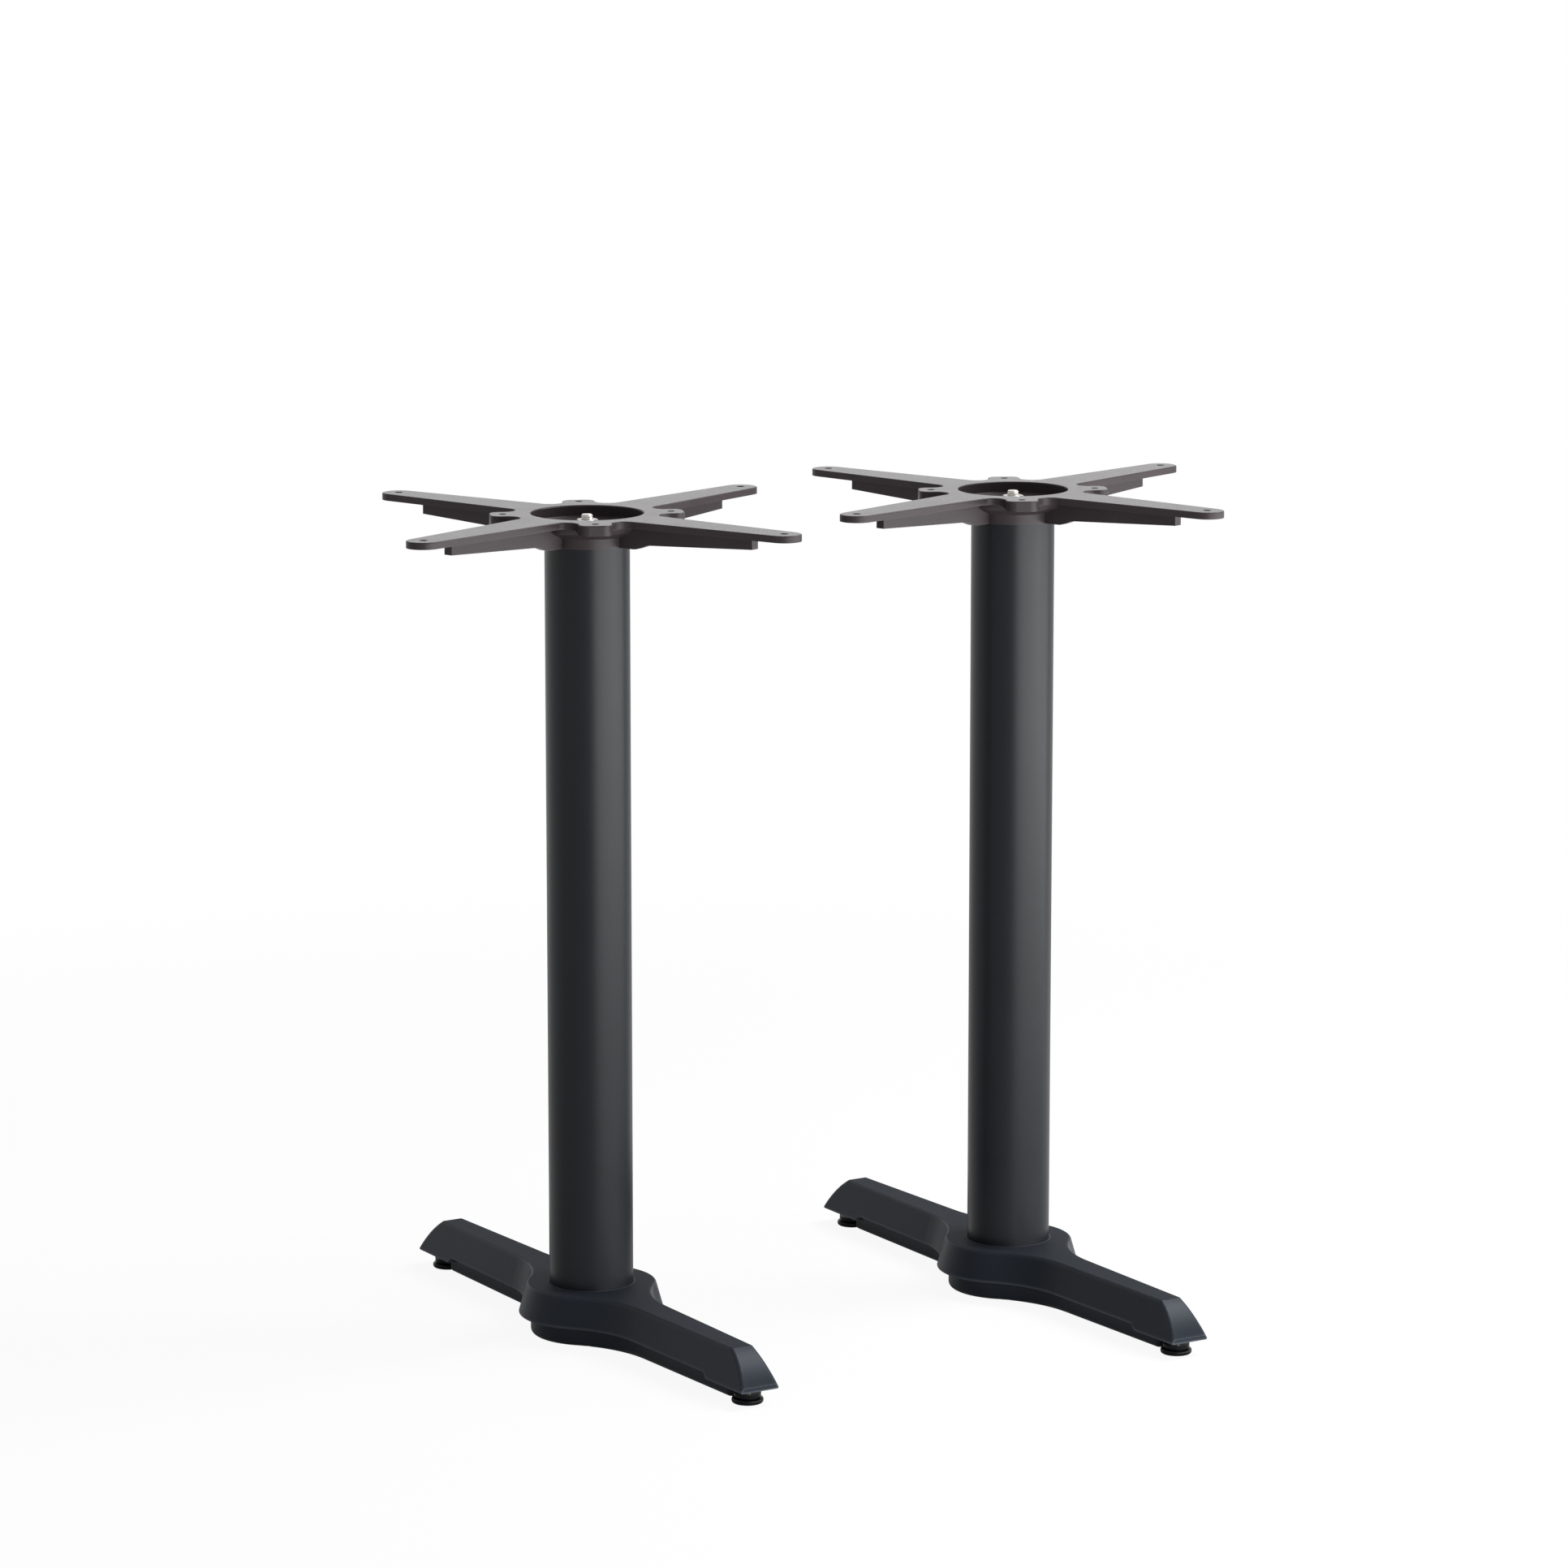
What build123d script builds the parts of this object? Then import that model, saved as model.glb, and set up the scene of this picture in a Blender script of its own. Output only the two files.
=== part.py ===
from build123d import *
import os
from math import asin, atan, cos, degrees, hypot, radians, sin, sqrt

# Twin table base: two matching pedestals. In each, one tie rod clamps a tube column between
# a cast two-pronged foot and a cast four-armed spider, and two glides level it on the floor.
# Millimetres and degrees. The feet run along Y, and the floor is at z = 0.

# Where the pair stands
COLUMN_SPACING = 393.0  # between the column axes, across the feet
COLUMN_STAGGER = 65.0  # one column ahead of the other, along the feet
OVERALL_HEIGHT = 720.0  # floor to the top face of the spiders

# Foot casting
FOOT_LENGTH = 559.0
FOOT_HUB_DIAMETER = 130.0  # at the level of the ends' lower edge, as the prong widths are
FOOT_TOP_HEIGHT = 46.0
PRONG_ROOT_WIDTH = 50.0  # in line with the column axis
PRONG_TIP_WIDTH = 38.0
HUB_BLEND_RADIUS = 90.0  # in plan, from the hub into a prong
FOOT_FLARE = 9.0  # how far the walls lean out from top to lower edge
SKIRT_EDGE_HEIGHT = 18.5  # lower edge of the walls, along the middle
TIP_DROP = 4.5  # how much lower the walls come at the ends
TIP_LENGTH = 56.0
TIP_STEP_RUN = 5.0  # length of the slanting step between the two edges
NOSE_RUN = 29.0  # how far the sloping end face leans back
NOSE_BULGE = 2.5
NOSE_LIP = 4.0  # upright part below the sloping end face
FOOT_EDGE_RADIUS = 3.0
SKIRT_EDGE_RADIUS = 1.2
PLINTH_SETBACK = 12.0  # of the plinth that shows under the walls
PLINTH_FLOOR_GAP = 1.0
PLINTH_END_GAP = 1.5  # between the plinth's end and a glide
PLINTH_END_RADIUS = 6.0
PLINTH_EDGE_RADIUS = 4.0  # along its lower edge
FOOT_WALL = 5.0
CROWN_THICKNESS = 11.0
CAVITY_DRAFT = 1.5
CAVITY_END_WALL = 40.0  # solid length at each end of the plinth
FOOT_BOSS_DIAMETER = 38.0
FOOT_BOSS_DEPTH = 11.0  # of the nut's seat below the crown
FOOT_RIB_THICKNESS = 6.0
FOOT_RIB_RECESS = 7.0  # of the ribs above the plinth's lower edge
PRONG_RIB_PLACE = 150.0  # from the column axis

# Column
COLUMN_DIAMETER = 73.0
COLUMN_WALL = 1.5
COLUMN_FIT = 0.3  # radial room in both castings
FOOT_SEAT_DEPTH = 5.0
COLLAR_DEPTH = 5.0  # of the column inside the spider's collar

# Spider casting
LEFT_SPIDER_TURN = 20.5  # of the first arm from the X axis
RIGHT_SPIDER_TURN = 17.3
ARM_COUNT = 4  # and as many ears, half-way between them
SCREW_SQUARE = 300.0  # side of the square of table screw holes
ARM_END_MARGIN = 14.5  # from a table screw hole to the end of its arm
ARM_ROOT_WIDTH = 48.0  # in line with the column axis
ARM_TIP_WIDTH = 29.0
PLATE_THICKNESS = 6.0
SCREW_HOLE_DIAMETER = 7.0
EAR_SPAN = 166.0
EAR_WIDTH = 28.0
EAR_THICKNESS = 9.0
EAR_CORNER_RADIUS = 8.0
EAR_HOLE_INSET = 11.0  # from the end of the ear
EAR_HOLE_DIAMETER = 6.5
NOTCH_RADIUS = 11.0  # in plan, between an arm and an ear
ARM_RIB_THICKNESS = 8.0
ARM_RIB_SETBACK = 31.0  # from a table screw hole to the rib's end
ARM_RIB_TIP_DEPTH = 15.8  # of the arm with its rib, below the top face
ARM_RIB_ROOT_DEPTH = 22.0
GUSSET_DIAMETER = 112.0  # where the ribs have come down to the collar's lower edge
GUSSET_RUN = 13.0
GUSSET_RADIUS = 14.0
COLLAR_WALL = 1.8
COLLAR_HEIGHT = 8.5  # upright part of the collar, outside
CUP_DIAMETER = 96.0
CUP_RIM_DEPTH = 9.0  # upright part of the cup's wall
CUP_FLOOR_DEPTH = 16.5
CUP_FLOOR_DIAMETER = 70.0
CUP_FLOOR_THICKNESS = 5.0
CUP_WALL = 5.0
BOWL_RADIUS = 6.0  # outside, from the cup's wall into its cone
NUT_SEAT_DEPTH = 13.5  # of the raised seat below the top face
NUT_SEAT_DIAMETER = 27.0
PLATE_EDGE_RADIUS = 1.0

# Tie rod, nuts and washer
ROD_DIAMETER = 10.0
ROD_HOLE_DIAMETER = 11.0
ROD_TOP_DEPTH = 1.2  # below the top face
ROD_TAIL = 3.0  # beyond the bottom nut
ROD_END_CHAMFER = 1.0
THREAD_FIT = 0.06  # radial room in the nuts and the glide holes
FLANGE_NUT_FLATS = 17.0
FLANGE_NUT_HEIGHT = 8.0
FLANGE_DIAMETER = 22.0
FLANGE_RIM = 1.2
FLANGE_HEIGHT = 2.6
BOTTOM_NUT_FLATS = 17.0
BOTTOM_NUT_HEIGHT = 8.0
WASHER_DIAMETER = 30.0
WASHER_THICKNESS = 2.5
NUT_CORNER_DROP = 1.0  # how far a nut's corners are turned off

# Levelling glides
GLIDE_INSET = 20.0  # from the end of the foot to the glide's axis
GLIDE_PAD_DIAMETER = 27.0
GLIDE_PAD_RIM = 5.0
GLIDE_PAD_EDGE_RADIUS = 2.2
GLIDE_GROOVE_DIAMETER = 20.0
GLIDE_GROOVE_HEIGHT = 1.0
GLIDE_FLANGE_DIAMETER = 23.0
GLIDE_FLANGE_THICKNESS = 3.0
GLIDE_FLANGE_EDGE_RADIUS = 1.2
GLIDE_SOCKET_FLOOR = 3.0
STUD_DIAMETER = 8.0
STUD_END_CHAMFER = 0.8
STUD_END_ROOM = 3.2  # left above the stud for screwing it further in
GLIDE_HOLE_DEPTH = 16.0

# Levels and places that follow from the sizes
foot_half = FOOT_LENGTH / 2
hub_radius = FOOT_HUB_DIAMETER / 2
column_radius = COLUMN_DIAMETER / 2
tip_edge = SKIRT_EDGE_HEIGHT - TIP_DROP
cavity_top = FOOT_TOP_HEIGHT - CROWN_THICKNESS
boss_bottom = cavity_top - FOOT_BOSS_DEPTH
washer_bottom = boss_bottom - WASHER_THICKNESS
bottom_nut_bottom = washer_bottom - BOTTOM_NUT_HEIGHT
rod_bottom = bottom_nut_bottom - ROD_TAIL
rod_top = OVERALL_HEIGHT - ROD_TOP_DEPTH
cup_floor = OVERALL_HEIGHT - CUP_FLOOR_DEPTH
nut_seat = OVERALL_HEIGHT - NUT_SEAT_DEPTH
column_bottom = FOOT_TOP_HEIGHT - FOOT_SEAT_DEPTH
column_top = cup_floor - CUP_FLOOR_THICKNESS
collar_bottom = column_top - COLLAR_DEPTH
plate_bottom = OVERALL_HEIGHT - PLATE_THICKNESS
screw_radius = SCREW_SQUARE / sqrt(2)
arm_tip_place = screw_radius + ARM_END_MARGIN - ARM_TIP_WIDTH / 2
ear_reach = EAR_SPAN / 2
ear_turn = 180 / ARM_COUNT
glide_place = foot_half - GLIDE_INSET
plinth_reach = glide_place - GLIDE_PAD_DIAMETER / 2 - PLINTH_END_GAP
stud_top = tip_edge + GLIDE_HOLE_DEPTH - STUD_END_ROOM


def prong_half_width(along):
    """Half the width of a prong at the foot's lower edge, that far from the column axis."""
    widening = (PRONG_ROOT_WIDTH - PRONG_TIP_WIDTH) / 2
    return PRONG_ROOT_WIDTH / 2 - widening * along / foot_half


def draw_foot_outline(inset, reach):
    """The foot in plan, drawn inset from its lower edge: hub circle, two prongs, blended corners."""
    hub = hub_radius - inset
    root = prong_half_width(0) - inset
    tip = prong_half_width(reach) - inset
    Circle(hub)
    Polygon((-root, 0), (-tip, -reach), (tip, -reach), (root, 0), (tip, reach), (-tip, reach))
    corners = vertices().filter_by(lambda point: abs(point.X) < root and abs(point.Y) < hub)
    fillet(corners, HUB_BLEND_RADIUS + inset)


def draw_ears():
    """The ears in plan, half-way between the spider's arms, with rounded outer corners."""
    with PolarLocations(0, ARM_COUNT, start_angle=ear_turn):
        Rectangle(ear_reach, EAR_WIDTH, align=(Align.MIN, Align.CENTER))
    corners = vertices().filter_by(lambda point: hypot(point.X, point.Y) > ear_reach)
    fillet(corners, EAR_CORNER_RADIUS)


def draw_arms():
    """The arms in plan, each with straight sides that run on tangent into its rounded end."""
    root_radius = ARM_ROOT_WIDTH / 2
    tip_radius = ARM_TIP_WIDTH / 2
    lean = asin((root_radius - tip_radius) / arm_tip_place)
    root_x = root_radius * sin(lean)
    root_y = root_radius * cos(lean)
    tip_x = arm_tip_place + tip_radius * sin(lean)
    tip_y = tip_radius * cos(lean)
    Circle(root_radius)
    with PolarLocations(0, ARM_COUNT):
        Polygon((root_x, -root_y), (tip_x, -tip_y), (tip_x, tip_y), (root_x, root_y))
    with PolarLocations(arm_tip_place, ARM_COUNT):
        Circle(tip_radius)


def turn_nut(flats, bottom, top):
    """Chamfers both faces of a hexagon nut down to its flats, as on a lathe."""
    corner = flats / sqrt(3)
    with BuildSketch(Plane.XZ) as section:
        Polygon(
            (0, bottom),
            (flats / 2, bottom),
            (corner, bottom + NUT_CORNER_DROP),
            (corner, top - NUT_CORNER_DROP),
            (flats / 2, top),
            (0, top),
        )
    revolve(section.sketch, axis=Axis.Z, mode=Mode.INTERSECT)


# Foot: flared walls cut to the side profile, a set-back plinth, and a hollow underside
with BuildPart() as foot:
    wall_lean = degrees(atan(FOOT_FLARE / (FOOT_TOP_HEIGHT - tip_edge)))
    with BuildSketch(Plane.XY.offset(tip_edge)):
        draw_foot_outline(0, foot_half + FOOT_FLARE)
    extrude(amount=FOOT_TOP_HEIGHT - tip_edge, taper=wall_lean)

    nose_top = (foot_half - NOSE_RUN, FOOT_TOP_HEIGHT)
    nose_foot = (foot_half, tip_edge + NOSE_LIP)
    step_foot = (foot_half - TIP_LENGTH, tip_edge)
    step_top = (foot_half - TIP_LENGTH - TIP_STEP_RUN, SKIRT_EDGE_HEIGHT)
    with BuildSketch(Plane.YZ):
        with BuildLine():
            Line((0, FOOT_TOP_HEIGHT), nose_top)
            SagittaArc(nose_top, nose_foot, NOSE_BULGE)
            Polyline(nose_foot, (foot_half, tip_edge), step_foot, step_top, (0, SKIRT_EDGE_HEIGHT))
            mirror(about=Plane.YZ)
        make_face()
    extrude(amount=FOOT_HUB_DIAMETER, both=True, mode=Mode.INTERSECT)

    crown_edges = faces().sort_by(Axis.Z)[-1].edges()
    nose_edges = faces().filter_by(GeomType.CYLINDER).edges().filter_by(Axis.X, reverse=True)
    fillet(crown_edges + nose_edges, FOOT_EDGE_RADIUS)
    looks_down = -0.5
    lower_faces = faces().filter_by(lambda face: face.normal_at().Z < looks_down)
    fillet(lower_faces.edges().filter_by(Axis.X, reverse=True), SKIRT_EDGE_RADIUS)

    with BuildSketch(Plane.XY.offset(PLINTH_FLOOR_GAP)):
        draw_foot_outline(PLINTH_SETBACK, plinth_reach)
        end_corners = vertices().group_by(Axis.Y)[0] + vertices().group_by(Axis.Y)[-1]
        fillet(end_corners, PLINTH_END_RADIUS)
    extrude(amount=cavity_top - PLINTH_FLOOR_GAP)
    fillet(faces().sort_by(Axis.Z)[0].edges(), PLINTH_EDGE_RADIUS)
    with BuildSketch(Plane.XY.offset(PLINTH_FLOOR_GAP)):
        draw_foot_outline(PLINTH_SETBACK + FOOT_WALL, plinth_reach - CAVITY_END_WALL)
    extrude(amount=cavity_top - PLINTH_FLOOR_GAP, taper=CAVITY_DRAFT, mode=Mode.SUBTRACT)

    rib_bottom = PLINTH_FLOOR_GAP + FOOT_RIB_RECESS
    rib_inset = PLINTH_SETBACK + FOOT_WALL / 2
    with BuildSketch(Plane.XY.offset(rib_bottom)):
        Rectangle(2 * (hub_radius - rib_inset), FOOT_RIB_THICKNESS)
        with Locations((0, PRONG_RIB_PLACE), (0, -PRONG_RIB_PLACE)):
            Rectangle(2 * (prong_half_width(PRONG_RIB_PLACE) - rib_inset), FOOT_RIB_THICKNESS)
    extrude(amount=cavity_top - rib_bottom)
    with BuildSketch(Plane.XY.offset(boss_bottom)) as boss:
        Circle(FOOT_BOSS_DIAMETER / 2)
    extrude(boss.sketch, amount=cavity_top - boss_bottom)
    extrude(boss.sketch, amount=PLINTH_FLOOR_GAP - boss_bottom, mode=Mode.SUBTRACT)

    with Locations((0, 0, FOOT_TOP_HEIGHT)):
        CounterBoreHole(ROD_HOLE_DIAMETER / 2, column_radius + COLUMN_FIT, FOOT_SEAT_DEPTH)
    for end in (-1, 1):
        glide_mouth = Plane((0, end * glide_place, tip_edge), z_dir=(0, 0, -1))
        with Locations(glide_mouth):
            Hole(STUD_DIAMETER / 2 + THREAD_FIT, GLIDE_HOLE_DEPTH)

# Column: a plain tube between its seat in the foot and the shoulder in the spider's collar
with BuildPart() as column:
    with BuildSketch(Plane.XY.offset(column_bottom)):
        Circle(column_radius)
        Circle(column_radius - COLUMN_WALL, mode=Mode.SUBTRACT)
    extrude(amount=column_top - column_bottom)

# Spider: four ribbed arms and four ears round a conical cup, with a collar for the column
with BuildPart() as spider:
    with BuildSketch(Plane.XY.offset(plate_bottom)):
        draw_ears()
        draw_arms()
        notches = vertices().filter_by(lambda point: hypot(point.X, point.Y) < ear_reach - NOTCH_RADIUS)
        fillet(notches, NOTCH_RADIUS)
    extrude(amount=PLATE_THICKNESS)
    with BuildSketch(Plane.XY.offset(OVERALL_HEIGHT - EAR_THICKNESS)):
        draw_ears()
    extrude(amount=EAR_THICKNESS)

    collar_radius = column_radius + COLUMN_FIT + COLLAR_WALL
    cup_radius = CUP_DIAMETER / 2
    bowl_radius = cup_radius + CUP_WALL
    with BuildSketch(Plane.XZ):
        Polygon(
            (0, collar_bottom),
            (collar_radius, collar_bottom),
            (collar_radius, collar_bottom + COLLAR_HEIGHT),
            (bowl_radius, OVERALL_HEIGHT - CUP_RIM_DEPTH - CUP_WALL / 2),
            (bowl_radius, plate_bottom),
            (0, plate_bottom),
        )
        bowl_corner = vertices().sort_by(Axis.X)[-2:].sort_by(Axis.Y)[0]
        fillet(bowl_corner, BOWL_RADIUS)
    revolve(axis=Axis.Z)

    rib_end = screw_radius - ARM_RIB_SETBACK
    gusset_radius = GUSSET_DIAMETER / 2
    with BuildSketch(Plane.XZ):
        Polygon(
            (0, plate_bottom),
            (0, collar_bottom),
            (gusset_radius, collar_bottom),
            (gusset_radius + GUSSET_RUN, OVERALL_HEIGHT - ARM_RIB_ROOT_DEPTH),
            (rib_end, OVERALL_HEIGHT - ARM_RIB_TIP_DEPTH),
            (rib_end, plate_bottom),
        )
        gusset_bends = vertices().filter_by(lambda point: 0 < point.X < rib_end)
        fillet(gusset_bends, GUSSET_RADIUS)
    rib = extrude(amount=ARM_RIB_THICKNESS / 2, both=True, mode=Mode.PRIVATE)
    with PolarLocations(0, ARM_COUNT):
        add(rib)

    with BuildSketch(Plane.XZ):
        Polygon(
            (0, nut_seat),
            (NUT_SEAT_DIAMETER / 2, nut_seat),
            (NUT_SEAT_DIAMETER / 2, cup_floor),
            (CUP_FLOOR_DIAMETER / 2, cup_floor),
            (cup_radius, OVERALL_HEIGHT - CUP_RIM_DEPTH),
            (cup_radius, OVERALL_HEIGHT),
            (0, OVERALL_HEIGHT),
        )
    revolve(axis=Axis.Z, mode=Mode.SUBTRACT)
    fillet(faces().sort_by(Axis.Z)[-1].edges(), PLATE_EDGE_RADIUS)

    with BuildSketch(Plane.XY.offset(collar_bottom)):
        Circle(column_radius + COLUMN_FIT)
    extrude(amount=COLLAR_DEPTH, mode=Mode.SUBTRACT)
    with Locations((0, 0, nut_seat)):
        Hole(ROD_HOLE_DIAMETER / 2, nut_seat - column_top)
    with Locations((0, 0, OVERALL_HEIGHT)):
        with PolarLocations(screw_radius, ARM_COUNT):
            Hole(SCREW_HOLE_DIAMETER / 2, PLATE_THICKNESS)
        with PolarLocations(ear_reach - EAR_HOLE_INSET, ARM_COUNT, start_angle=ear_turn):
            Hole(EAR_HOLE_DIAMETER / 2, EAR_THICKNESS)

# Tie rod, with its nuts and washer
with BuildPart() as tie_rod:
    with BuildSketch(Plane.XY.offset(rod_bottom)):
        Circle(ROD_DIAMETER / 2)
    extrude(amount=rod_top - rod_bottom)
    chamfer(edges().filter_by(GeomType.CIRCLE), ROD_END_CHAMFER)

with BuildPart() as top_nut:
    nut_top = nut_seat + FLANGE_NUT_HEIGHT
    with BuildSketch(Plane.XY.offset(nut_seat)):
        RegularPolygon(FLANGE_NUT_FLATS / 2, 6, major_radius=False)
    extrude(amount=FLANGE_NUT_HEIGHT)
    turn_nut(FLANGE_NUT_FLATS, nut_seat, nut_top)
    with BuildSketch(Plane.XZ):
        Polygon(
            (0, nut_seat),
            (FLANGE_DIAMETER / 2, nut_seat),
            (FLANGE_DIAMETER / 2, nut_seat + FLANGE_RIM),
            (FLANGE_NUT_FLATS / 2, nut_seat + FLANGE_HEIGHT),
            (0, nut_seat + FLANGE_HEIGHT),
        )
    revolve(axis=Axis.Z)
    with Locations((0, 0, nut_top)):
        Hole(ROD_DIAMETER / 2 + THREAD_FIT, FLANGE_NUT_HEIGHT)

with BuildPart() as bottom_nut:
    with BuildSketch(Plane.XY.offset(bottom_nut_bottom)):
        RegularPolygon(BOTTOM_NUT_FLATS / 2, 6, major_radius=False)
    extrude(amount=BOTTOM_NUT_HEIGHT)
    turn_nut(BOTTOM_NUT_FLATS, bottom_nut_bottom, washer_bottom)
    with Locations((0, 0, washer_bottom)):
        Hole(ROD_DIAMETER / 2 + THREAD_FIT, BOTTOM_NUT_HEIGHT)

with BuildPart() as bottom_washer:
    with BuildSketch(Plane.XY.offset(washer_bottom)):
        Circle(WASHER_DIAMETER / 2)
        Circle(ROD_HOLE_DIAMETER / 2, mode=Mode.SUBTRACT)
    extrude(amount=WASHER_THICKNESS)

# Glide: a moulded pad with a groove round it, and a threaded stud held in its socket
with BuildPart() as glide_pad:
    pad_radius = GLIDE_PAD_DIAMETER / 2
    groove_radius = GLIDE_GROOVE_DIAMETER / 2
    flange_radius = GLIDE_FLANGE_DIAMETER / 2
    socket_radius = STUD_DIAMETER / 2 + THREAD_FIT
    flange_bottom = GLIDE_PAD_RIM + GLIDE_GROOVE_HEIGHT
    flange_top = flange_bottom + GLIDE_FLANGE_THICKNESS
    with BuildSketch(Plane.XZ):
        Polygon(
            (0, 0),
            (pad_radius, 0),
            (pad_radius, GLIDE_PAD_RIM),
            (groove_radius, GLIDE_PAD_RIM),
            (groove_radius, flange_bottom),
            (flange_radius, flange_bottom),
            (flange_radius, flange_top),
            (socket_radius, flange_top),
            (socket_radius, GLIDE_SOCKET_FLOOR),
            (0, GLIDE_SOCKET_FLOOR),
        )
        outer_corners = vertices().filter_by(lambda point: point.X > groove_radius)
        pad_corners = outer_corners.filter_by(lambda point: point.Y < flange_bottom)
        flange_corners = outer_corners.filter_by(lambda point: point.Y >= flange_bottom)
        fillet(pad_corners, GLIDE_PAD_EDGE_RADIUS)
        fillet(flange_corners, GLIDE_FLANGE_EDGE_RADIUS)
    revolve(axis=Axis.Z)

with BuildPart() as glide_stud:
    with BuildSketch(Plane.XY.offset(GLIDE_SOCKET_FLOOR)):
        Circle(STUD_DIAMETER / 2)
    extrude(amount=stud_top - GLIDE_SOCKET_FLOOR)
    chamfer(edges().group_by(Axis.Z)[-1], STUD_END_CHAMFER)

# Both pedestals are made of the same pieces, each written where it stands. Turned differently, their
# spiders reach out differently, so the pair is moved to keep its outline centred on the origin.
left_reach = arm_tip_place * cos(radians(LEFT_SPIDER_TURN))
right_reach = arm_tip_place * cos(radians(RIGHT_SPIDER_TURN))
pair_middle = (left_reach - right_reach) / 2
left_x = pair_middle - COLUMN_SPACING / 2
right_x = pair_middle + COLUMN_SPACING / 2
pedestal_y = COLUMN_STAGGER / 2
pedestals = (
    ("left", Location((left_x, pedestal_y, 0)), Rotation(0, 0, LEFT_SPIDER_TURN)),
    ("right", Location((right_x, -pedestal_y, 0)), Rotation(0, 0, RIGHT_SPIDER_TURN)),
)
centred = Location((0, 0, 0))
front = Location((0, -glide_place, 0))
rear = Location((0, glide_place, 0))
fixed_pieces = (
    ("foot_casting", foot, centred),
    ("column_tube", column, centred),
    ("tie_rod", tie_rod, centred),
    ("bottom_washer", bottom_washer, centred),
    ("bottom_nut", bottom_nut, centred),
    ("front_glide_pad", glide_pad, front),
    ("front_glide_stud", glide_stud, front),
    ("rear_glide_pad", glide_pad, rear),
    ("rear_glide_stud", glide_stud, rear),
)
os.makedirs("parts", exist_ok=True)
for side, pedestal_place, spider_turn in pedestals:
    turned_pieces = (("spider_plate", spider, spider_turn), ("top_flange_nut", top_nut, spider_turn))
    for piece_name, piece, place in fixed_pieces + turned_pieces:
        placed = piece.part.moved(pedestal_place * place)
        placed.label = f"{side}_{piece_name}"
        export_step(placed, f"parts/{placed.label}.step")
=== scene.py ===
from math import radians

import bpy
import numpy as np
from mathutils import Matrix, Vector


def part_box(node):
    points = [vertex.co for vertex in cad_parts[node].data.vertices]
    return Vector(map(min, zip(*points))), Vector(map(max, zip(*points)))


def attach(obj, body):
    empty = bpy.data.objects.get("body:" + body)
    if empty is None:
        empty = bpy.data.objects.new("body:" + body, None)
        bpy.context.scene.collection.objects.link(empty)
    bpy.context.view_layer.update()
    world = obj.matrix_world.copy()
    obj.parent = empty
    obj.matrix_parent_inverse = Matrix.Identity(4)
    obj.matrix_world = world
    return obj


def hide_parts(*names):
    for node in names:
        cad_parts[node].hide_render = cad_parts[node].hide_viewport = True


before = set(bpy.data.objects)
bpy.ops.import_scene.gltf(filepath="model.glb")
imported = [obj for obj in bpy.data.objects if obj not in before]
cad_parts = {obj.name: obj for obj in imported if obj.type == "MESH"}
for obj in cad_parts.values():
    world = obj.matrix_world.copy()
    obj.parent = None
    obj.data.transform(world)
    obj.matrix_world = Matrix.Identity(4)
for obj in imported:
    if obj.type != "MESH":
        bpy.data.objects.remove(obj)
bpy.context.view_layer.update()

SIDES = ("left", "right")
FOOT_ENDS = ("front", "rear")

# Threads
ROD_THREAD_PITCH = 0.0015
STUD_THREAD_PITCH = 0.00125
THREAD_RUN = 0.040  # threaded length at each end; a bar shorter than two of them is all thread
THREAD_DEPTH_SHARE = 0.58  # of the pitch
THREAD_STEEPNESS = 1.25  # of the flanks, where 1 would leave sharp tips and more cuts them flat
ROWS_PER_TURN = 10
BAR_SEGMENTS = 48
END_CHAMFER = 0.0009

# Coats
CLOUD_SCALE = 22.0
EDGE_SAMPLES = 6
# Reach and strength of the lighter edge colour: wear and a painted highlight on sharp edges, a painted
# highlight on the rounded edges of the feet
SHARP_EDGE_WEAR_AND_HIGHLIGHT = {"Reach": 0.0016, "Strength": 2.5}
ROUNDED_EDGE_HIGHLIGHT = {"Reach": 0.004, "Strength": 8.0}

# Camera, as it stood for the photograph
CAMERA_PLACE = (-2.795, -4.458, 1.434)
CAMERA_HEADING = radians(-31.89)
CAMERA_TILT = radians(10.37)
CAMERA_LENS = 141.1
CAMERA_SENSOR = 36.0
CAMERA_REACH = 100.0

# Studio
FLOOR_HALF = 14.0
WHITE = (1.0, 1.0, 1.0, 1.0)
WORLD_LEVEL = 0.25  # of the light all round, where 1 is the white that the camera sees
FLOOR_GREY = 0.8
SHADOW_SHARE = 0.08  # how much of the floor's own shading shows through the white
GLOSS_SHADOW_SHARE = 0.75  # the same, in what the gloss of the object shows of the floor
SHADOW_REACH = (0.9, 2.2)  # the shadow fades between these distances, and past them the floor is white


def srgb(red, green, blue):
    """A colour as it is seen, from 0 to 255, turned into the linear values that a shader takes."""
    seen = np.array((red, green, blue)) / 255
    linear = np.where(seen <= 0.04045, seen / 12.92, ((seen + 0.055) / 1.055) ** 2.4)
    return (*linear.tolist(), 1.0)


def link_piece(name, mesh, material):
    """Puts a finished mesh into the scene, with its place in the mesh."""
    piece = bpy.data.objects.new(name, mesh)
    bpy.context.scene.collection.objects.link(piece)
    mesh.materials.append(material)
    return piece


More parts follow.
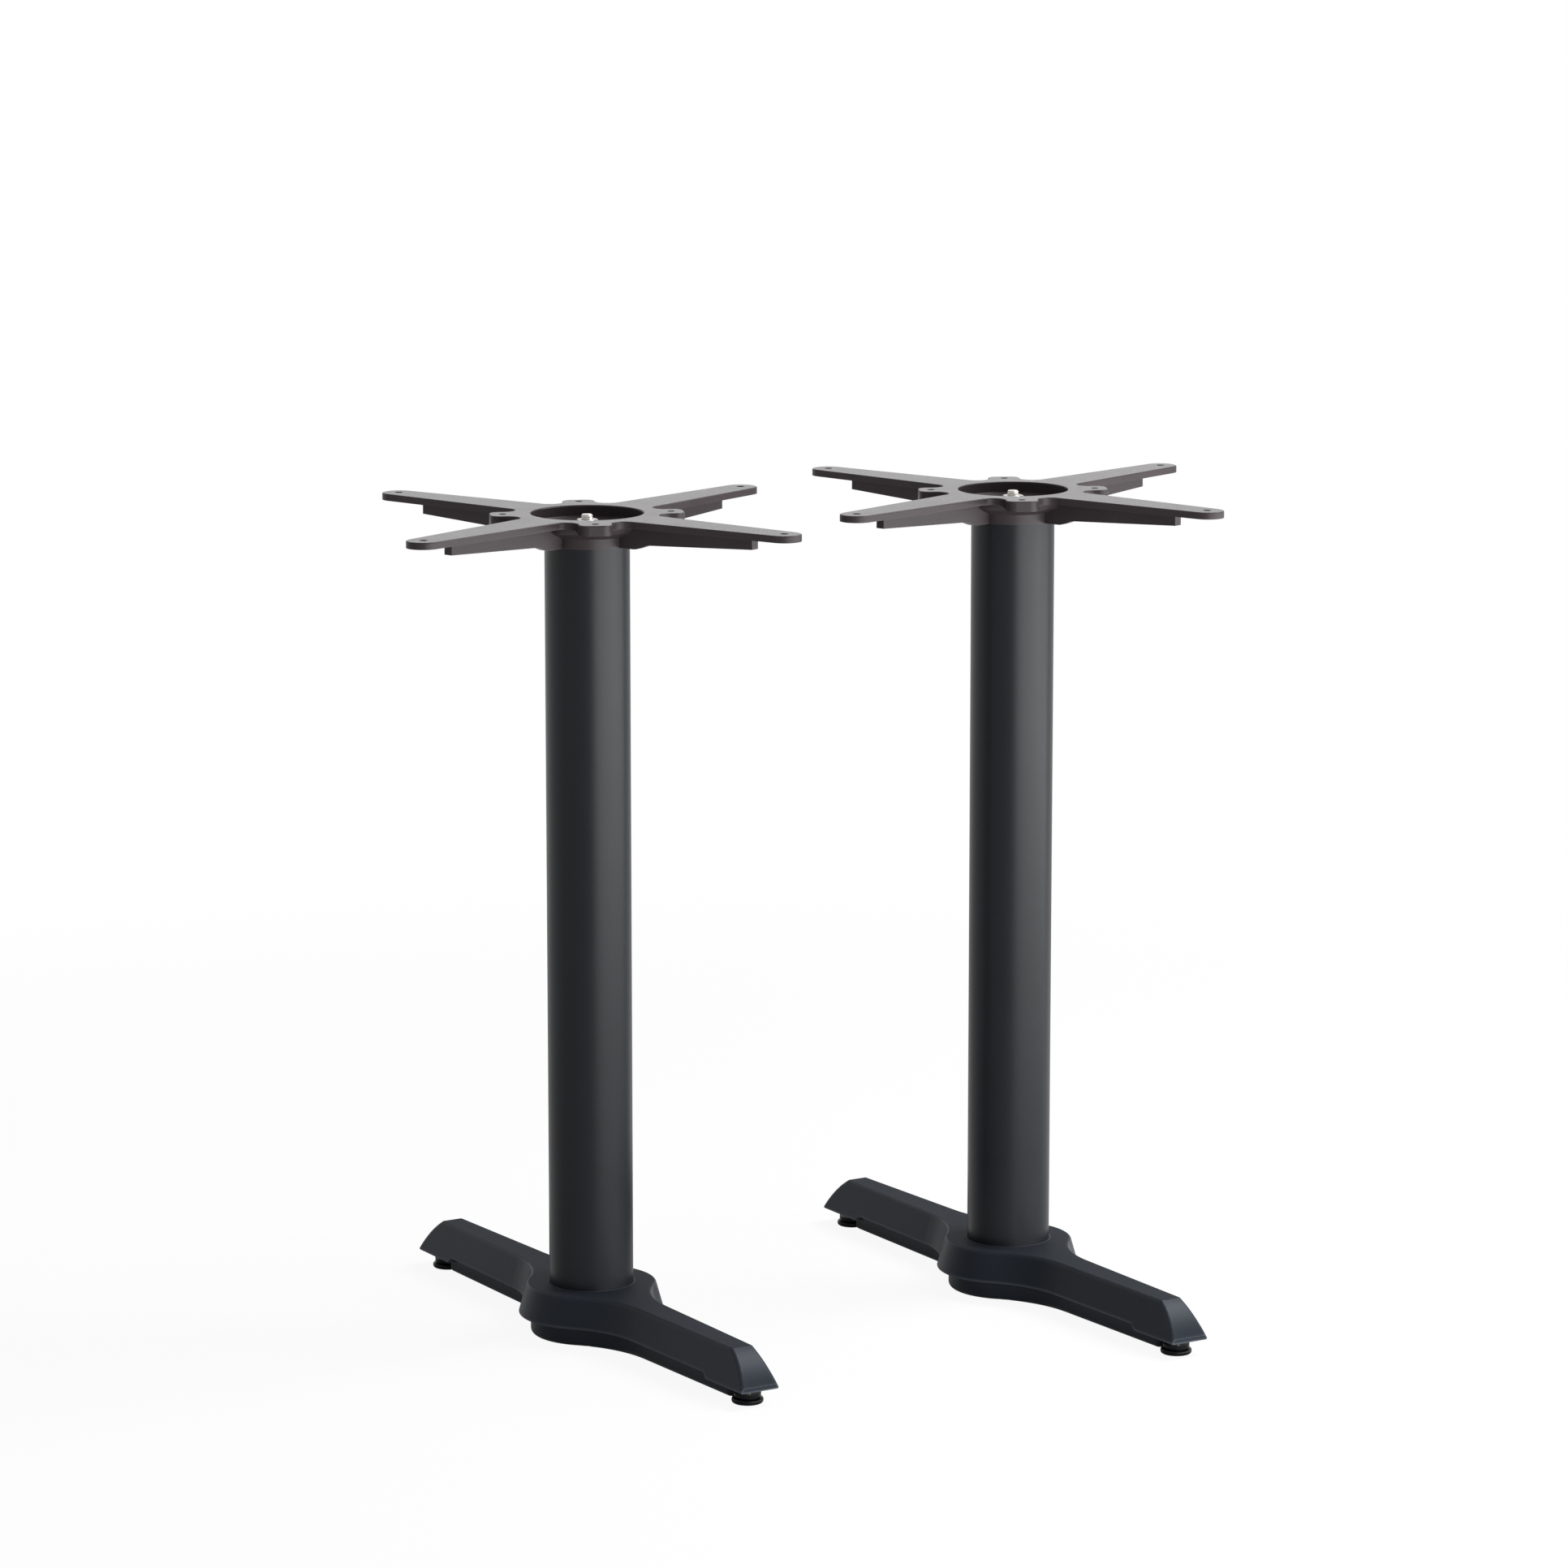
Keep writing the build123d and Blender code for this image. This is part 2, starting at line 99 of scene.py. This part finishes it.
def turned_mesh(name, centre, radii, heights):
    """A closed surface turned about an upright axis.

    Point (i, j) stands at height heights[i] and at angle 2 pi j / n, radii[i, j] from the axis,
    where n is the number of columns of radii. A pole closes each end.
    """
    rows, segments = radii.shape
    turn = np.arange(segments) * (2 * np.pi / segments)
    ring_x = centre[0] + radii * np.cos(turn)
    ring_y = centre[1] + radii * np.sin(turn)
    ring_z = np.broadcast_to(heights[:, None], radii.shape)
    rings = np.stack((ring_x, ring_y, ring_z), axis=-1).reshape(-1, 3)
    poles = np.array(((centre[0], centre[1], heights[0]), (centre[0], centre[1], heights[-1])))
    points = np.concatenate((rings, poles))

    row = np.arange(rows - 1)[:, None] * segments
    here = row + np.arange(segments)
    there = row + (np.arange(segments) + 1) % segments
    quads = np.stack((here, there, there + segments, here + segments), axis=-1).reshape(-1, 4)
    first = np.arange(segments)
    after = (first + 1) % segments
    last = (rows - 1) * segments
    bottom = np.stack((after, first, np.full(segments, rows * segments)), axis=-1)
    top = np.stack((last + first, last + after, np.full(segments, rows * segments + 1)), axis=-1)

    mesh = bpy.data.meshes.new(name)
    mesh.from_pydata(points.tolist(), [], quads.tolist() + bottom.tolist() + top.tolist())
    smooth = np.concatenate((np.ones(len(quads), bool), np.zeros(2 * segments, bool)))
    mesh.polygons.foreach_set("use_smooth", smooth)
    mesh.update()
    return mesh


def threaded_bar(name, node, body, material, pitch):
    """A round bar with a rolled thread at its ends, in place of the plain bar of the solids.

    At height z and angle a the radius is R - d w, where w goes from 0 on a crest to 1 in a root as
    a triangle wave of z / pitch - a / 2 pi with its tips cut flat, and d fades to nothing where the
    thread runs out. A cone of END_CHAMFER closes each end.
    """
    low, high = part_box(node)
    radius = (high.x - low.x) / 2
    centre = ((low.x + high.x) / 2, (low.y + high.y) / 2)
    length = high.z - low.z
    if length > 2 * THREAD_RUN:
        thread_rows = int(THREAD_RUN / pitch * ROWS_PER_TURN)
        lower = np.linspace(low.z, low.z + THREAD_RUN, thread_rows)
        upper = np.linspace(high.z - THREAD_RUN, high.z, thread_rows)
        heights = np.concatenate((lower, upper))
        from_end = np.minimum(heights - low.z, high.z - heights)
        fade = np.clip((THREAD_RUN - from_end) / pitch, 0, 1)
    else:
        heights = np.linspace(low.z, high.z, int(length / pitch * ROWS_PER_TURN))
        from_end = np.minimum(heights - low.z, high.z - heights)
        fade = np.ones(len(heights))
    turns = np.arange(BAR_SEGMENTS) / BAR_SEGMENTS
    phase = (heights[:, None] / pitch - turns) % 1
    triangle = np.abs(2 * phase - 1)
    wave = np.clip(0.5 + THREAD_STEEPNESS * (triangle - 0.5), 0, 1)
    radii = radius - THREAD_DEPTH_SHARE * pitch * wave * fade[:, None]
    cone = radius - np.clip(END_CHAMFER - from_end, 0, END_CHAMFER)
    radii = np.minimum(radii, cone[:, None])
    piece = link_piece(name, turned_mesh(name, centre, radii, heights), material)
    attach(piece, body)
    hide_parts(node)


def new_group(name, inputs, outputs):
    """An empty shader group with the named sockets; gives back its tree and its two end nodes."""
    tree = bpy.data.node_groups.new(name, "ShaderNodeTree")
    for label, kind, value in inputs:
        socket = tree.interface.new_socket(label, in_out="INPUT", socket_type=kind)
        socket.default_value = value
    for label, kind in outputs:
        tree.interface.new_socket(label, in_out="OUTPUT", socket_type=kind)
    return tree, tree.nodes.new("NodeGroupInput"), tree.nodes.new("NodeGroupOutput")


def add_node(tree, kind, **settings):
    """A node of that kind with its properties set."""
    node = tree.nodes.new(kind)
    for label, value in settings.items():
        setattr(node, label, value)
    return node


def noise(tree, place, scale, detail, roughness=0.5):
    """A noise texture at that place; its scale is a number or a socket."""
    node = add_node(tree, "ShaderNodeTexNoise")
    tree.links.new(place, node.inputs["Vector"])
    if isinstance(scale, (int, float)):
        node.inputs["Scale"].default_value = scale
    else:
        tree.links.new(scale, node.inputs["Scale"])
    node.inputs["Detail"].default_value = detail
    node.inputs["Roughness"].default_value = roughness
    return node.outputs["Fac"]


def math_node(tree, operation, first, second=0.0, clamp=False):
    """One sum on two values, each a number or a socket."""
    node = add_node(tree, "ShaderNodeMath", operation=operation, use_clamp=clamp)
    for slot_number, value in enumerate((first, second)):
        if isinstance(value, (int, float)):
            node.inputs[slot_number].default_value = value
        else:
            tree.links.new(value, node.inputs[slot_number])
    return node.outputs[0]


def mix_colour(tree, share, first, second):
    """A blend of two colours, each a colour or a socket, by a share."""
    node = add_node(tree, "ShaderNodeMix", data_type="RGBA")
    tree.links.new(share, node.inputs["Factor"])
    for label, value in (("A", first), ("B", second)):
        socket = next(s for s in node.inputs if s.name == label and s.type == "RGBA")
        if isinstance(value, tuple):
            socket.default_value = value
        else:
            tree.links.new(value, socket)
    return next(s for s in node.outputs if s.type == "RGBA")


def make_coat_grain():
    """Sprayed powder coat: Height is its orange peel with finer pimples, Tone a slow cloudiness."""
    tree, given, made = new_group(
        "coat_grain",
        (
            ("Peel Scale", "NodeSocketFloat", 700.0),
            ("Pimple Scale", "NodeSocketFloat", 2600.0),
            ("Pimple Share", "NodeSocketFloat", 0.35),
        ),
        (("Height", "NodeSocketFloat"), ("Tone", "NodeSocketFloat")),
    )
    place = add_node(tree, "ShaderNodeTexCoord").outputs["Object"]
    peel = noise(tree, place, given.outputs["Peel Scale"], detail=2.0)
    pimple = noise(tree, place, given.outputs["Pimple Scale"], detail=3.0, roughness=0.6)
    blend = add_node(tree, "ShaderNodeMix", data_type="FLOAT")
    tree.links.new(given.outputs["Pimple Share"], blend.inputs["Factor"])
    tree.links.new(peel, blend.inputs["A"])
    tree.links.new(pimple, blend.inputs["B"])
    tree.links.new(blend.outputs[0], made.inputs["Height"])
    cloud = noise(tree, place, CLOUD_SCALE, detail=4.0, roughness=0.55)
    tree.links.new(cloud, made.inputs["Tone"])
    return tree


def make_edge_mask():
    """Mask is 1 where the surface turns away within Reach, for worn edges and a painted edge
    highlight, and 0 on a flat.
    """
    tree, given, made = new_group(
        "edge_mask",
        (("Reach", "NodeSocketFloat", 0.0015), ("Strength", "NodeSocketFloat", 3.0)),
        (("Mask", "NodeSocketFloat"),),
    )
    rounded = add_node(tree, "ShaderNodeBevel", samples=EDGE_SAMPLES)
    tree.links.new(given.outputs["Reach"], rounded.inputs["Radius"])
    true = add_node(tree, "ShaderNodeNewGeometry").outputs["Normal"]
    along = add_node(tree, "ShaderNodeVectorMath", operation="DOT_PRODUCT")
    tree.links.new(rounded.outputs[0], along.inputs[0])
    tree.links.new(true, along.inputs[1])
    away = math_node(tree, "SUBTRACT", 1.0, along.outputs["Value"])
    mask = math_node(tree, "MULTIPLY", away, given.outputs["Strength"], clamp=True)
    tree.links.new(mask, made.inputs["Mask"])
    return tree


def make_upward_mask():
    """Mask is 1 on faces that look straight up, and 0 on those that slope."""
    tree, given, made = new_group(
        "upward_mask",
        (("Slope Start", "NodeSocketFloat", 0.8), ("Slope End", "NodeSocketFloat", 0.97)),
        (("Mask", "NodeSocketFloat"),),
    )
    parts = add_node(tree, "ShaderNodeSeparateXYZ")
    tree.links.new(add_node(tree, "ShaderNodeNewGeometry").outputs["Normal"], parts.inputs[0])
    rise = add_node(tree, "ShaderNodeMapRange", interpolation_type="SMOOTHSTEP")
    tree.links.new(parts.outputs["Z"], rise.inputs["Value"])
    tree.links.new(given.outputs["Slope Start"], rise.inputs["From Min"])
    tree.links.new(given.outputs["Slope End"], rise.inputs["From Max"])
    tree.links.new(rise.outputs["Result"], made.inputs["Mask"])
    return tree


def new_material(name):
    """A material with a plain Principled shader; gives back the material, its tree and the shader."""
    material = bpy.data.materials.new(name)
    material.use_nodes = True
    tree = material.node_tree
    shader = tree.nodes["Principled BSDF"]
    return material, tree, shader


def place_group(tree, group, **values):
    """A shader group in a material, with its values set by socket name."""
    node = add_node(tree, "ShaderNodeGroup", node_tree=group)
    for label, value in values.items():
        node.inputs[label.replace("_", " ")].default_value = value
    return node


def between(tree, share, low, high):
    """A value that goes from low to high as the share goes from 0 to 1."""
    return math_node(tree, "ADD", math_node(tree, "MULTIPLY", share, high - low), low)


def add_relief(tree, shader, height, strength, distance):
    """Bumps in a finish, from its height."""
    relief = add_node(tree, "ShaderNodeBump")
    relief.inputs["Strength"].default_value = strength
    relief.inputs["Distance"].default_value = distance
    tree.links.new(height, relief.inputs["Height"])
    tree.links.new(relief.outputs["Normal"], shader.inputs["Normal"])


def painted_metal(
    name,
    groups,
    dark,
    light,
    edge,
    roughness,
    upward_change,
    specular,
    tint,
    grain,
    edge_wear_and_highlight,
    edge_share,
    bump,
):
    """Powder-coated metal: a cloudy colour, lighter on edges as wear and as a painted highlight, with
    grain in gloss and relief.

    The roughness of its upward faces changes by upward_change: more under dust, less where they
    are ground flat.
    """
    material, tree, shader = new_material(name)
    coat = place_group(tree, groups["coat_grain"], **grain)
    edges = place_group(tree, groups["edge_mask"], **edge_wear_and_highlight)
    cloudy = mix_colour(tree, coat.outputs["Tone"], dark, light)
    # The lighter edge colour is partly wear and partly a painted highlight along the edges
    share = math_node(tree, "MULTIPLY", edges.outputs["Mask"], edge_share)
    tree.links.new(mix_colour(tree, share, cloudy, edge), shader.inputs["Base Color"])
    upward = place_group(tree, groups["upward_mask"])
    change = math_node(tree, "MULTIPLY", upward.outputs["Mask"], upward_change)
    cloudy_gloss = between(tree, coat.outputs["Tone"], *roughness)
    tree.links.new(math_node(tree, "ADD", cloudy_gloss, change), shader.inputs["Roughness"])
    add_relief(tree, shader, coat.outputs["Height"], *bump)
    shader.inputs["Specular IOR Level"].default_value = specular
    shader.inputs["Specular Tint"].default_value = tint
    return material


def zinc_plate(name, groups, cool, warm, roughness, grain):
    """Bright zinc on steel: a pale metal with faint warm and cool clouds."""
    material, tree, shader = new_material(name)
    coat = place_group(tree, groups["coat_grain"], **grain)
    tree.links.new(mix_colour(tree, coat.outputs["Tone"], cool, warm), shader.inputs["Base Color"])
    tree.links.new(between(tree, coat.outputs["Height"], *roughness), shader.inputs["Roughness"])
    shader.inputs["Metallic"].default_value = 1.0
    return material


def moulded_plastic(name, groups, dark, light, roughness, specular, grain, bump):
    """Black moulded nylon with a fine spark-eroded grain."""
    material, tree, shader = new_material(name)
    coat = place_group(tree, groups["coat_grain"], **grain)
    tree.links.new(mix_colour(tree, coat.outputs["Tone"], dark, light), shader.inputs["Base Color"])
    tree.links.new(between(tree, coat.outputs["Height"], *roughness), shader.inputs["Roughness"])
    add_relief(tree, shader, coat.outputs["Height"], *bump)
    shader.inputs["Specular IOR Level"].default_value = specular
    return material


def white_rays(tree):
    """Two masks of the rays that see white: from the camera, and off gloss or through glass."""
    rays = add_node(tree, "ShaderNodeLightPath")
    off_gloss = rays.outputs["Is Glossy Ray"]
    through_glass = rays.outputs["Is Transmission Ray"]
    return rays.outputs["Is Camera Ray"], math_node(tree, "ADD", off_gloss, through_glass, clamp=True)


def make_world():
    """A plain even light all round, seen as white."""
    world = bpy.data.worlds.new("studio")
    bpy.context.scene.world = world
    world.use_nodes = True
    tree = world.node_tree
    background = tree.nodes["Background"]
    background.inputs["Color"].default_value = WHITE
    seen = math_node(tree, "ADD", *white_rays(tree), clamp=True)
    tree.links.new(between(tree, seen, WORLD_LEVEL, 1.0), background.inputs["Strength"])


def make_floor():
    """A pale floor that the camera sees as white, with the shadow left on it."""
    material, tree, shader = new_material("floor_white")
    shader.inputs["Base Color"].default_value = (FLOOR_GREY, FLOOR_GREY, FLOOR_GREY, 1.0)
    shader.inputs["Roughness"].default_value = 1.0
    shader.inputs["Specular IOR Level"].default_value = 0.0
    glow = add_node(tree, "ShaderNodeEmission")
    glow.inputs["Color"].default_value = WHITE
    glow.inputs["Strength"].default_value = 1.0
    blend = add_node(tree, "ShaderNodeMixShader")
    place = add_node(tree, "ShaderNodeTexCoord").outputs["Object"]
    away = add_node(tree, "ShaderNodeVectorMath", operation="LENGTH")
    tree.links.new(place, away.inputs[0])
    shares = []
    for rays, shadow_share in zip(white_rays(tree), (SHADOW_SHARE, GLOSS_SHADOW_SHARE)):
        fade = add_node(tree, "ShaderNodeMapRange", interpolation_type="SMOOTHSTEP")
        tree.links.new(away.outputs["Value"], fade.inputs["Value"])
        fade.inputs["From Min"].default_value, fade.inputs["From Max"].default_value = SHADOW_REACH
        fade.inputs["To Min"].default_value = 1.0 - shadow_share
        fade.inputs["To Max"].default_value = 1.0
        shares.append(math_node(tree, "MULTIPLY", rays, fade.outputs["Result"]))
    tree.links.new(math_node(tree, "ADD", *shares, clamp=True), blend.inputs["Fac"])
    tree.links.new(shader.outputs["BSDF"], blend.inputs[1])
    tree.links.new(glow.outputs["Emission"], blend.inputs[2])
    tree.links.new(blend.outputs[0], tree.nodes["Material Output"].inputs["Surface"])
    mesh = bpy.data.meshes.new("floor")
    half = FLOOR_HALF
    corners = [(-half, -half, 0), (half, -half, 0), (half, half, 0), (-half, half, 0)]
    mesh.from_pydata(corners, [], [(0, 1, 2, 3)])
    floor = link_piece("floor", mesh, material)


def make_lamp(name, place, aim, size, watts):
    """A soft box at that place, facing its aim; its size is its width and height."""
    data = bpy.data.lights.new(name, "AREA")
    data.shape = "RECTANGLE"
    data.size, data.size_y = size
    data.energy = watts
    lamp = bpy.data.objects.new(name, data)
    bpy.context.scene.collection.objects.link(lamp)
    lamp.location = place
    towards = np.array(aim) - np.array(place)
    rise = np.arctan2(towards[2], np.hypot(towards[0], towards[1]))
    heading = np.arctan2(-towards[0], towards[1])
    lamp.rotation_euler = (np.pi / 2 + rise, 0, heading)


def make_camera():
    """The photograph's camera: heading about the upright, tilted down, with no shift."""
    data = bpy.data.cameras.new("camera")
    data.lens = CAMERA_LENS
    data.sensor_width = CAMERA_SENSOR
    data.clip_end = CAMERA_REACH
    camera = bpy.data.objects.new("camera", data)
    bpy.context.scene.collection.objects.link(camera)
    camera.location = CAMERA_PLACE
    camera.rotation_euler = (np.pi / 2 - CAMERA_TILT, 0, CAMERA_HEADING)
    bpy.context.scene.camera = camera


groups = {
    "coat_grain": make_coat_grain(),
    "edge_mask": make_edge_mask(),
    "upward_mask": make_upward_mask(),
}
foot_paint = painted_metal(
    "foot_paint",
    groups,
    dark=srgb(13, 17, 23),
    light=srgb(20, 24, 31),
    # edge: a painted highlight along the rounded edges of the foot
    edge=srgb(88, 94, 102),
    roughness=(0.39, 0.47),
    upward_change=0.27,
    specular=0.16,
    tint=srgb(232, 242, 255),
    grain={"Peel_Scale": 520.0, "Pimple_Scale": 1900.0, "Pimple_Share": 0.45},
    edge_wear_and_highlight=ROUNDED_EDGE_HIGHLIGHT,
    edge_share=0.55,
    bump=(0.28, 0.0003),
)
column_paint = painted_metal(
    "column_paint",
    groups,
    dark=srgb(11, 14, 18),
    light=srgb(15, 19, 24),
    # edge: lighter edges, partly wear and partly a painted highlight
    edge=srgb(60, 62, 65),
    roughness=(0.34, 0.4),
    upward_change=0.0,
    specular=0.2,
    tint=WHITE,
    grain={"Peel_Scale": 700.0, "Pimple_Scale": 2600.0, "Pimple_Share": 0.3},
    edge_wear_and_highlight=SHARP_EDGE_WEAR_AND_HIGHLIGHT,
    edge_share=0.2,
    bump=(0.16, 0.0002),
)
spider_paint = painted_metal(
    "spider_paint",
    groups,
    dark=srgb(40, 33, 36),
    light=srgb(56, 49, 51),
    # edge: lighter edges, partly wear and partly a painted highlight
    edge=srgb(76, 69, 70),
    roughness=(0.34, 0.46),
    upward_change=-0.24,
    specular=0.18,
    tint=WHITE,
    grain={"Peel_Scale": 420.0, "Pimple_Scale": 1500.0, "Pimple_Share": 0.55},
    edge_wear_and_highlight=SHARP_EDGE_WEAR_AND_HIGHLIGHT,
    edge_share=0.4,
    bump=(0.34, 0.0004),
)
zinc_steel = zinc_plate(
    "zinc_steel",
    groups,
    cool=srgb(196, 198, 202),
    warm=srgb(226, 221, 208),
    roughness=(0.22, 0.38),
    grain={"Peel_Scale": 420.0, "Pimple_Scale": 3200.0},
)
glide_plastic = moulded_plastic(
    "glide_plastic",
    groups,
    dark=srgb(5, 6, 8),
    light=srgb(9, 10, 12),
    roughness=(0.2, 0.4),
    specular=0.1,
    grain={"Peel_Scale": 1500.0, "Pimple_Scale": 5200.0},
    bump=(0.25, 0.00008),
)

finishes = {
    "foot_casting": foot_paint,
    "column_tube": column_paint,
    "spider_plate": spider_paint,
    "tie_rod": zinc_steel,
    "top_flange_nut": zinc_steel,
    "bottom_washer": zinc_steel,
    "bottom_nut": zinc_steel,
    "front_glide_pad": glide_plastic,
    "rear_glide_pad": glide_plastic,
    "front_glide_stud": zinc_steel,
    "rear_glide_stud": zinc_steel,
}
for side in SIDES:
    for piece_name, finish in finishes.items():
        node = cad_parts[f"{side}_{piece_name}"]
        node.data.materials.clear()
        node.data.materials.append(finish)
    threaded_bar(
        f"{side}_threaded_rod",
        f"{side}_tie_rod",
        "frame",
        zinc_steel,
        ROD_THREAD_PITCH,
    )
    for end in FOOT_ENDS:
        threaded_bar(
            f"{side}_{end}_threaded_stud",
            f"{side}_{end}_glide_stud",
            f"{side}_{end}_glide",
            zinc_steel,
            STUD_THREAD_PITCH,
        )

make_world()
make_floor()
# The first and last draw the streaks on the columns, and the high one lights the tops.
make_lamp("key", place=(0.65, -2.05, 0.3), aim=(0.0, 0.0, 0.3), size=(3.0, 0.5), watts=62)
make_lamp("top_right", place=(1.6, -0.54, 2.79), aim=(0.0, -0.28, 0.04), size=(1.4, 1.4), watts=105)
make_lamp("right_low", place=(1.6, -0.75, 0.3), aim=(0.0, 0.0, 0.3), size=(0.9, 0.5), watts=8)
make_camera()
bpy.context.scene.view_settings.view_transform = "Standard"
